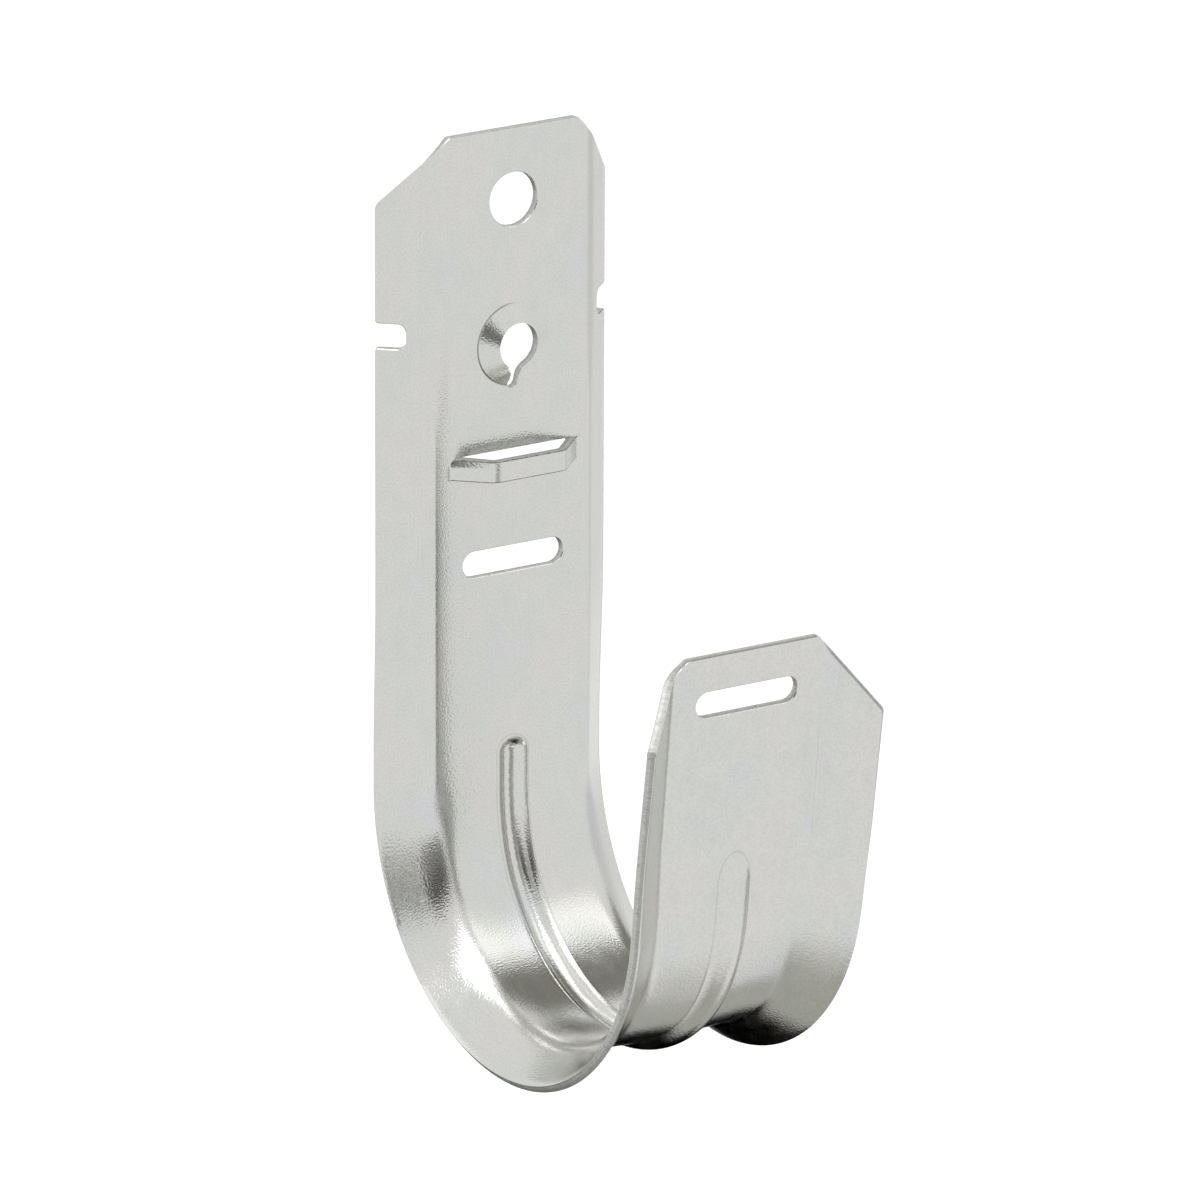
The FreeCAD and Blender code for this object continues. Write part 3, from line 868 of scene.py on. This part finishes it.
# Zinc coat: faint tints, rolling streaks along the strip, a fine grain that breaks up reflections
def zinc():
    material, tree, shader = node_tree("galvanised_steel")
    strip = strip_vector(tree)
    cloud = noise_over(tree, strip, 0.11, (1.0, 0.7, 1.0))
    streak = noise_over(tree, strip, 1.0, (2.2, 0.05, 1.0), 3.0, 0.6)
    mottle = noise_over(tree, strip, 1.0, (0.55, 0.3, 1.0), 3.0, 0.6)
    grain = noise_over(tree, strip, 3.8, (1.0, 1.0, 1.0), 0.5)
    waves = noise_over(tree, strip, 0.35, (1.0, 0.5, 1.0))
    tint = tones(tree, cloud, [
        (0.32, (0.64, 0.64, 0.66)), (0.42, (0.64, 0.65, 0.625)),
        (0.52, (0.65, 0.655, 0.63)), (0.62, (0.67, 0.65, 0.635)),
        (0.72, (0.65, 0.65, 0.63))])
    streak_tone = tones(tree, streak, [(0.3, grey(0.985)), (0.7, grey(1.0))])
    mottle_tone = tones(tree, mottle, [(0.3, grey(0.96)), (0.7, grey(1.0))])
    speckle = tones(tree, grain, [(0.35, grey(0.96)), (0.6, grey(1.03))])
    # The painted crease shade goes into the zinc's colour here, with the tints, streaks and grain
    colour = shaded(tree, tint, streak_tone, mottle_tone, painted_crease_shade(tree, strip), speckle)
    tree.links.new(colour, shader.inputs["Base Color"])
    shader.inputs["Metallic"].default_value = 1.0
    brightest, dullest = 0.13, 0.2
    tree.links.new(ranged(tree, mottle, 0.3, 0.7, brightest, dullest), shader.inputs["Roughness"])
    grain_height, wave_height = 0.000026, 0.000006
    normal = raised(tree, waves, wave_height, raised(tree, grain, grain_height))
    tree.links.new(normal, shader.inputs["Normal"])
    return material


# Sheared edge: a bright burnished part, a duller torn part, and a dark line of painted shade at each rim
def sheared():
    material, tree, shader = node_tree("sheared_edge")
    strip = strip_vector(tree)
    ragged = noise_over(tree, strip, 1.0, (1.6, 1.6, 0.0), 3.0, 0.6)
    drag = noise_over(tree, strip, 1.0, (5.0, 5.0, 1.2), 3.0, 0.6)
    wander = 0.1
    wandering = ranged(tree, ragged, 0.2, 0.8, -wander, wander)
    depth = calc(tree, "ADD", parts_of(tree, strip)[2], wandering)
    # The darkest stops, at both faces, are painted shade along the cut wall's rims
    band_with_rim_shade = tones(tree, calc(tree, "DIVIDE", depth, sheet), [
        (0.0, grey(0.14)), (0.1, (0.52, 0.52, 0.51)), (0.42, (0.56, 0.56, 0.54)),
        (0.55, (0.44, 0.44, 0.425)), (0.9, (0.41, 0.41, 0.395)), (1.0, grey(0.14))])
    tone = tones(tree, drag, [(0.32, grey(0.6)), (0.45, grey(0.9)), (0.7, grey(1.0))])
    tree.links.new(shaded(tree, band_with_rim_shade, tone), shader.inputs["Base Color"])
    shader.inputs["Metallic"].default_value = 0.6
    brightest, dullest, drag_height = 0.32, 0.5, 0.00005
    tree.links.new(ranged(tree, ragged, 0.3, 0.7, brightest, dullest), shader.inputs["Roughness"])
    tree.links.new(raised(tree, drag, drag_height), shader.inputs["Normal"])
    return material


# The studio in metres: the hook's middle, the floor's height and half its side, and the floor's tones
hook_middle = Vector((0.0, -0.026, -0.06))
floor_z, floor_half = -0.175, 6.0
floor_tone, floor_lift = 0.84, 0.26


def area_lamp(name, place, width, height, power):
    data = bpy.data.lights.new(name, "AREA")
    data.shape = "RECTANGLE"
    data.size = width
    data.size_y = height
    data.energy = power
    lamp = bpy.data.objects.new(name, data)
    lamp.location = place
    lamp.rotation_euler = (hook_middle - Vector(place)).to_track_quat("-Z", "Y").to_euler()
    bpy.context.scene.collection.objects.link(lamp)


# A square sheet of the studio with an empty material, and that material's nodes
def studio_square(name, half):
    made = bmesh.new()
    bmesh.ops.create_grid(made, x_segments=1, y_segments=1, size=half)
    shape = mesh_object(name, made)
    material = bpy.data.materials.new(name)
    material.use_nodes = True
    material.node_tree.nodes.clear()
    shape.data.materials.append(material)
    return shape, material.node_tree


def mixed(tree, share, first, second):
    mix = tree.nodes.new("ShaderNodeMixShader")
    for socket, source in zip(mix.inputs, (share, first, second)):
        tree.links.new(source, socket)
    return mix.outputs[0]


def on_camera_rays(tree, elsewhere, seen):
    rays = tree.nodes.new("ShaderNodeLightPath")
    return mixed(tree, rays.outputs["Is Camera Ray"], elsewhere, seen)


def background(tree, colour):
    node = tree.nodes.new("ShaderNodeBackground")
    node.inputs["Color"].default_value = (*colour, 1.0)
    return node.outputs[0]


# White where the camera looks past the hook, an even pale tent everywhere else
def studio_world():
    world = bpy.data.worlds.new("studio")
    world.use_nodes = True
    tree = world.node_tree
    tree.nodes.clear()
    out = tree.nodes.new("ShaderNodeOutputWorld")
    tent, seen = background(tree, (0.98, 0.985, 0.97)), background(tree, grey(1.0))
    tree.links.new(on_camera_rays(tree, tent, seen), out.inputs["Surface"])
    bpy.context.scene.world = world


# A studio card seen only in the metal: it faces the hook from a compass side and a height, in degrees
def card(name, side, height, wide, tall, tone, soft=0.3, away=1.3):
    shape, tree = studio_square(name, 1.0)
    ray = direction_to(math.radians(side), math.radians(height))
    half_wide, half_tall = [away * math.tan(math.radians(angle / 2.0)) for angle in (wide, tall)]
    shape.scale = (half_wide, half_tall, 1.0)
    shape.location = hook_middle + ray * away
    shape.rotation_euler = (-ray).to_track_quat("-Z", "Y").to_euler()
    place = tree.nodes.new("ShaderNodeTexCoord")
    fades = [ranged(tree, calc(tree, "ABSOLUTE", part), 1.0, 1.0 - soft, 0.0, 1.0, True)
             for part in parts_of(tree, place.outputs["Object"])[:2]]
    glow = tree.nodes.new("ShaderNodeEmission")
    glow.inputs["Color"].default_value = (*tone, 1.0)
    clear = tree.nodes.new("ShaderNodeBsdfTransparent")
    out = tree.nodes.new("ShaderNodeOutputMaterial")
    faded = mixed(tree, calc(tree, "MULTIPLY", *fades), clear.outputs[0], glow.outputs[0])
    tree.links.new(faded, out.inputs["Surface"])
    shape.visible_camera = False


# A plain pale floor well below the hook, lifted to white where the camera sees it in the open
def floor():
    shape, tree = studio_square("floor", floor_half)
    shape.location = (0.0, 0.0, floor_z)
    matt = tree.nodes.new("ShaderNodeBsdfDiffuse")
    matt.inputs["Color"].default_value = (*grey(floor_tone), 1.0)
    glow = tree.nodes.new("ShaderNodeEmission")
    glow.inputs["Strength"].default_value = floor_lift
    both = tree.nodes.new("ShaderNodeAddShader")
    out = tree.nodes.new("ShaderNodeOutputMaterial")
    tree.links.new(matt.outputs[0], both.inputs[0])
    tree.links.new(glow.outputs[0], both.inputs[1])
    tree.links.new(on_camera_rays(tree, matt.outputs[0], both.outputs[0]), out.inputs["Surface"])
    shape.visible_glossy = False


hook = hook_form()
hook.data.materials.append(zinc())
hook.data.materials.append(sheared())
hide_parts("j_hook")
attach(hook, "root")
photo_camera()
bpy.context.scene.view_settings.view_transform = "Standard"

studio_world()
floor()
area_lamp("top_softbox", (-0.3, -0.22, 1.08), 0.82, 0.82, 4.4)
card("dark_card_front_left", -36.0, 17.0, 50.0, 34.0, (0.24, 0.24, 0.225), 0.3)
card("dark_card_left", -74.0, 12.0, 28.0, 26.0, (0.42, 0.42, 0.4), 0.4, 1.2)
card("dark_card_high_left", -45.0, 24.0, 36.0, 15.0, (0.05, 0.05, 0.045), 0.4, 1.1)
card("left_softbox", -112.0, 30.0, 46.0, 26.0, (1.3, 1.3, 1.28), 0.4, 1.28)
card("right_softbox", 60.0, 53.0, 44.0, 20.0, (1.5, 1.5, 1.47), 0.5, 1.27)
card("dark_card_right", 114.0, 39.0, 42.0, 72.0, (0.27, 0.265, 0.24), 0.35)
card("grey_card_right", 102.0, -6.0, 50.0, 34.0, (0.8, 0.8, 0.78), 0.5, 1.35)
card("black_card_low", 170.0, -50.0, 90.0, 52.0, (0.0, 0.0, 0.0), 0.3)
card("grey_card_low", 112.0, -48.0, 34.0, 44.0, (0.5, 0.505, 0.46), 0.5, 1.4)
# A grey card right under the hook, seen only in the metal, stands in for the shaded floor beneath it
card("shade_card_below", 0.0, -89.9, 80.0, 80.0, (0.5, 0.5, 0.455), 0.7, 1.5)
